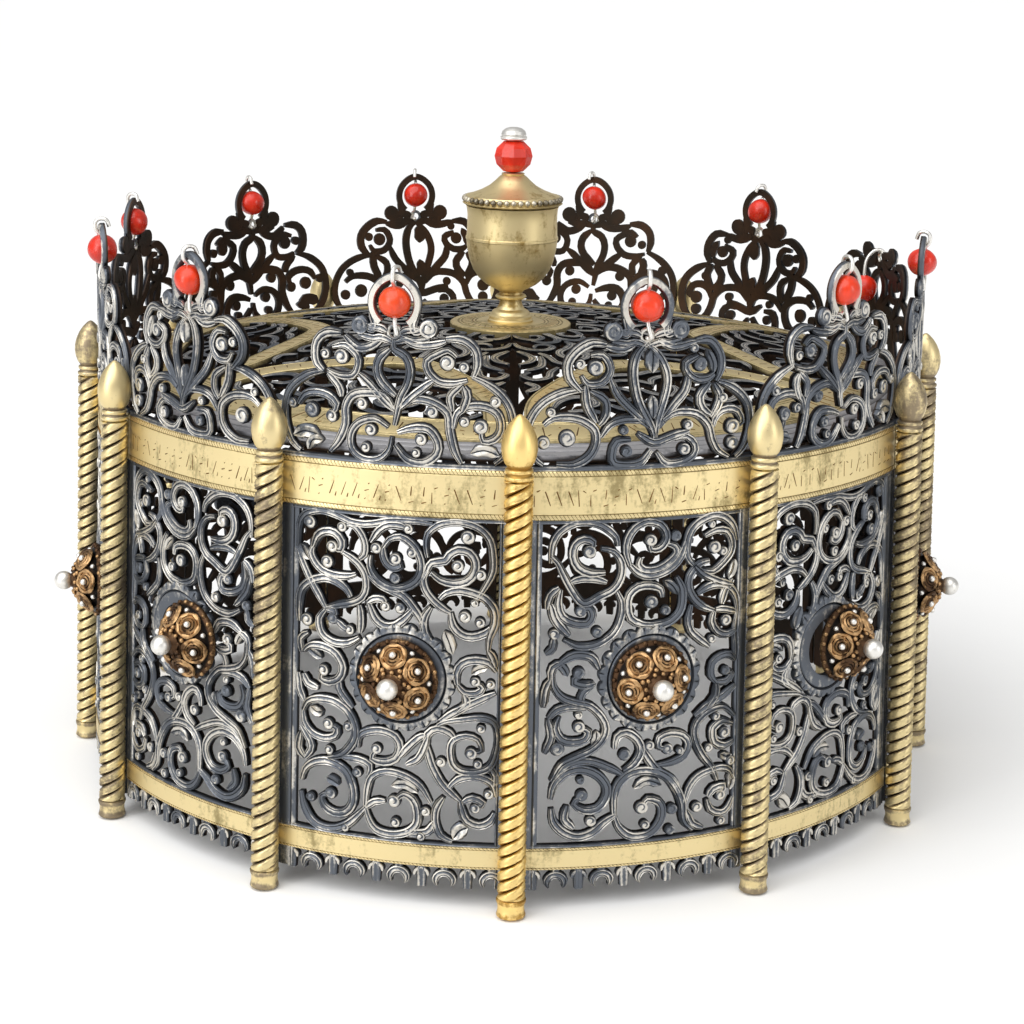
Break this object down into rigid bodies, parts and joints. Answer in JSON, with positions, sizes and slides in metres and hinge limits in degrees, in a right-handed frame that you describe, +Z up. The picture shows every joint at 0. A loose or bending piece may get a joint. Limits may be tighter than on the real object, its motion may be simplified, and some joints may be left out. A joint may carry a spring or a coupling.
{
  "type": "torah crown",
  "caption": "Round ceremonial crown of pierced silver panels between twisted gilt columns, with filigree bosses, coral beads, a pierced dome and an urn finial.",
  "frame": {"origin": "centre of the circle of column feet, on the ground", "axes": "+Z up; -Y towards the front, where the first column stands; +X to the right"},
  "size_m": [0.216, 0.216, 0.1539],
  "materials": {
    "silver": "oxidised silver, engraved",
    "gilt": "worn gilding over silver",
    "filigree": "darkened gilt filigree",
    "coral": "smooth red coral on silver wire",
    "bright_silver": "polished silver"
  },
  "bodies": {
    "root": {"panel_01": "silver", "panel_02": "silver", "panel_03": "silver", "panel_04": "silver", "panel_05": "silver", "panel_06": "silver", "panel_07": "silver", "panel_08": "silver", "panel_09": "silver", "panel_10": "silver", "panel_11": "silver", "panel_12": "silver", "column_01": "gilt", "column_02": "gilt", "column_03": "gilt", "column_04": "gilt", "column_05": "gilt", "column_06": "gilt", "column_07": "gilt", "column_08": "gilt", "column_09": "gilt", "column_10": "gilt", "column_11": "gilt", "column_12": "gilt", "boss_01": "filigree", "boss_02": "filigree", "boss_03": "filigree", "boss_04": "filigree", "boss_05": "filigree", "boss_06": "filigree", "boss_07": "filigree", "boss_08": "filigree", "boss_09": "filigree", "boss_10": "filigree", "boss_11": "filigree", "boss_12": "filigree", "coral_drop_01": "coral", "coral_drop_02": "coral", "coral_drop_03": "coral", "coral_drop_04": "coral", "coral_drop_05": "coral", "coral_drop_06": "coral", "coral_drop_07": "coral", "coral_drop_08": "coral", "coral_drop_09": "coral", "coral_drop_10": "coral", "coral_drop_11": "coral", "coral_drop_12": "coral", "dome": "silver", "urn": "gilt", "urn_lid": "gilt", "urn_coral": "coral", "urn_cap": "bright_silver"}
  },
  "joints": []
}
